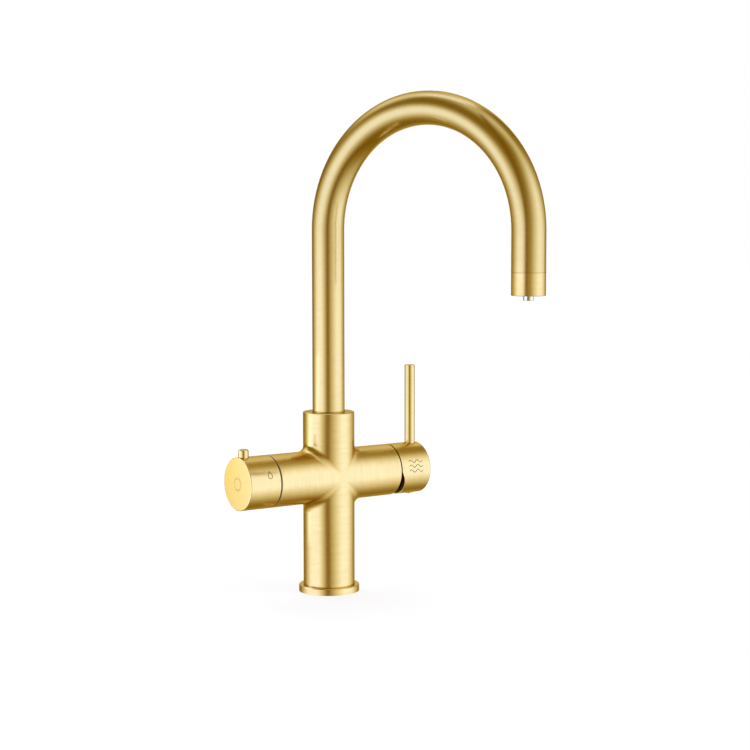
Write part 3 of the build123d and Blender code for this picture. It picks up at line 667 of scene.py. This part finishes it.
FINISHED_NODES = {
    "raw_brass": (
        "spout_foot", "boiling_valve_body", "boiling_spindle", "mixer_cartridge_nut",
        "boiling_stem",
    ),
    "chrome": ("boiling_outlet_tube",),
    "stainless": (
        "knob_screw", "handle_screw", "button_clip", "button_spring", "mixer_pivot_pin",
        "lever_spindle",
    ),
    "seam_black": ("knob_seam_ring",),
    "grey_polymer": (
        "flow_former", "mixer_cartridge_shell", "mixer_cartridge_base", "mixer_guide",
        "mixer_disc_driver",
    ),
    "white_polymer": ("spout_bush", "spout_washer"),
    "black_rubber": (
        "base_seal", "spout_foot_seals", "boiling_stem_seal", "nozzle_seal", "boiling_valve_seal",
        "boiling_spindle_seal", "mixer_cartridge_seals",
    ),
    "silicone": ("boiling_hose",),
    "ceramic": (
        "boiling_fixed_disc", "boiling_moving_disc", "mixer_fixed_disc", "mixer_moving_disc",
    ),
}
GRAIN = {"detail": 3.0, "roughness": 0.6}
GRAIN_STRENGTH = 0.5
FINISH_CLOUDS = {"scale": 90.0, "detail": 4.0, "roughness": 0.55}
# How much the grain and the clouds go from one colour to the other, the clouds as a middle and a
# spread, and how far the clouds change the roughness, as a share of it
GRAIN_SHARE = 0.35
CLOUD_SHARE = (0.325, 0.5)
ROUGHNESS_CHANGE = 0.25


def plain_finish(name):
    first, second, metallic, roughness, grain, grain_depth = FINISHES[name]
    material, graph, shader = new_material(name)
    place = graph.coordinates("Object")
    speckle = graph.noise(place, scale=grain, **GRAIN)
    clouds = graph.noise(place, **FINISH_CLOUDS)
    mottling = graph.math("MULTIPLY_ADD", speckle, GRAIN_SHARE, graph.around(clouds, *CLOUD_SHARE))
    graph.put(shader.inputs["Base Color"], graph.mix_colour(mottling, first, second))
    shader.inputs["Metallic"].default_value = metallic
    uneven = graph.around(clouds, roughness, ROUGHNESS_CHANGE * roughness)
    graph.put(shader.inputs["Roughness"], uneven)
    graph.put(shader.inputs["Normal"], graph.bump(speckle, GRAIN_STRENGTH, grain_depth))
    return material


def dress(node_name, material):
    mesh = nodes[node_name].data
    mesh.materials.clear()
    mesh.materials.append(material)


# Spring behind the button: the CAD's coil again, as a piece of its own on the boiling handle, in
# place of the CAD's spring.
COIL_ENDS = (-0.0796, -0.07485)
COIL_RADIUS = 0.0037
COIL_WIRE_RADIUS = 0.0003
COIL_TURNS = 3.5
COIL_STEPS = 112
COIL_CORNERS = 12


def make_button_coil():
    shape = bmesh.new()
    along = Vector(ALONG_X)
    sections = []
    for step in range(COIL_STEPS + 1):
        share = step / COIL_STEPS
        angle = 2 * math.pi * COIL_TURNS * share
        outward = Vector((0.0, math.cos(angle), math.sin(angle)))
        x = COIL_ENDS[0] + (COIL_ENDS[1] - COIL_ENDS[0]) * share
        middle = Vector((x, 0.0, ARM_HEIGHT)) + COIL_RADIUS * outward
        section = []
        for corner in range(COIL_CORNERS):
            turn = 2 * math.pi * corner / COIL_CORNERS
            offset = COIL_WIRE_RADIUS * (math.cos(turn) * outward + math.sin(turn) * along)
            section.append(shape.verts.new(middle + offset))
        sections.append(section)
    add_skin(shape, sections, smooth=True)
    coil = add_piece("button_coil", shape, nodes["button_spring"].data.materials[0])
    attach(coil, "boiling_handle")
    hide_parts("button_spring")
    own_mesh(coil)


# Marks: a plain drop on the boiling knob and three waves on the mixer cap, as thin raised lines
# that follow the round of the arm. Heights are measured round the arm from its front.
MARK_SUNK = -0.00002
MARK_PROUD = 0.00003
MARK_LINE = 0.00045
DROP_MIDDLE_X = -0.0652
DROP_BOTTOM = 0.0054
DROP_HEIGHT = 0.0056
DROP_RADIUS = 0.0022
# How much the widest place makes up for the narrowing, and how sharply the drop draws in
DROP_FULLNESS = 1.25
DROP_POINTING = 1.6
DROP_STEPS = 48
WAVE_ENDS = (0.0635, 0.0765)
WAVE_HEIGHTS = (0.0, 0.0038, 0.0076)
WAVE_SWING = 0.0011
WAVE_COUNT = 2.0
WAVE_STEPS = 60
MARK_BROWNS = ((0.07, 0.045, 0.015), (0.14, 0.09, 0.03))
MARK_SPECKLE = {"scale": 2500.0, "detail": 3.0}
MARK_METALLIC = 0.4
MARK_ROUGHNESS = (0.5, 0.1)


def drop_path():
    """A drop: a round foot that draws in to a point at the top."""
    path = []
    for step in range(DROP_STEPS):
        angle = 2 * math.pi * step / DROP_STEPS
        narrowing = math.sin(angle / 2) ** DROP_POINTING
        x = DROP_MIDDLE_X + DROP_RADIUS * DROP_FULLNESS * math.sin(angle) * narrowing
        path.append((x, DROP_BOTTOM + DROP_HEIGHT / 2 + DROP_HEIGHT / 2 * math.cos(angle)))
    return path


def wave_path(height):
    first_x, last_x = WAVE_ENDS
    path = []
    for step in range(WAVE_STEPS + 1):
        share = step / WAVE_STEPS
        x = first_x + (last_x - first_x) * share
        path.append((x, height + WAVE_SWING * math.sin(2 * math.pi * WAVE_COUNT * share)))
    return path


def arm_point(x, height, lift):
    """A place over the front of the arms."""
    angle = height / ARM_RADIUS
    radius = ARM_RADIUS + lift
    return Vector((x, -radius * math.cos(angle), ARM_HEIGHT + radius * math.sin(angle)))


def add_line(shape, path, closed):
    """Adds one raised line along flat points of x and height, as a closed solid strip."""
    count = len(path)
    sections = []
    for index, point in enumerate(path):
        before = path[index - 1] if closed or index else point
        after = path[(index + 1) % count] if closed or index < count - 1 else point
        heading = (Vector(after) - Vector(before)).normalized()
        side = Vector((-heading.y, heading.x)) * MARK_LINE / 2
        left, right = Vector(point) + side, Vector(point) - side
        corners = (
            (left, MARK_SUNK), (right, MARK_SUNK), (right, MARK_PROUD), (left, MARK_PROUD),
        )
        points = [arm_point(flat.x, flat.y, lift) for flat, lift in corners]
        sections.append([shape.verts.new(place) for place in points])
    add_skin(shape, sections, closed=closed)


def make_mark(name, paths, closed, body, material):
    shape = bmesh.new()
    for path in paths:
        add_line(shape, path, closed)
    mark = add_piece(name, shape, material)
    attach(mark, body)


def mark_finish():
    material, graph, shader = new_material("mark_brown")
    speckle = graph.noise(graph.coordinates("Object"), **MARK_SPECKLE)
    graph.put(shader.inputs["Base Color"], graph.mix_colour(speckle, *MARK_BROWNS))
    shader.inputs["Metallic"].default_value = MARK_METALLIC
    graph.put(shader.inputs["Roughness"], graph.around(speckle, *MARK_ROUGHNESS))
    return material


bpy.context.scene.view_settings.view_transform = "Standard"
make_camera()
make_world()
make_dark_card()
make_white_card()
make_rod_card()
make_floor()
for node_name in GOLD_AXES:
    dress(node_name, brushed_gold(node_name))
for finish, node_names in FINISHED_NODES.items():
    material = plain_finish(finish)
    for node_name in node_names:
        dress(node_name, material)
make_button_coil()
mark_material = mark_finish()
waves = [wave_path(height) for height in WAVE_HEIGHTS]
make_mark("drop_mark", [drop_path()], True, "boiling_handle", mark_material)
make_mark("wave_mark", waves, False, "mixer_handle", mark_material)
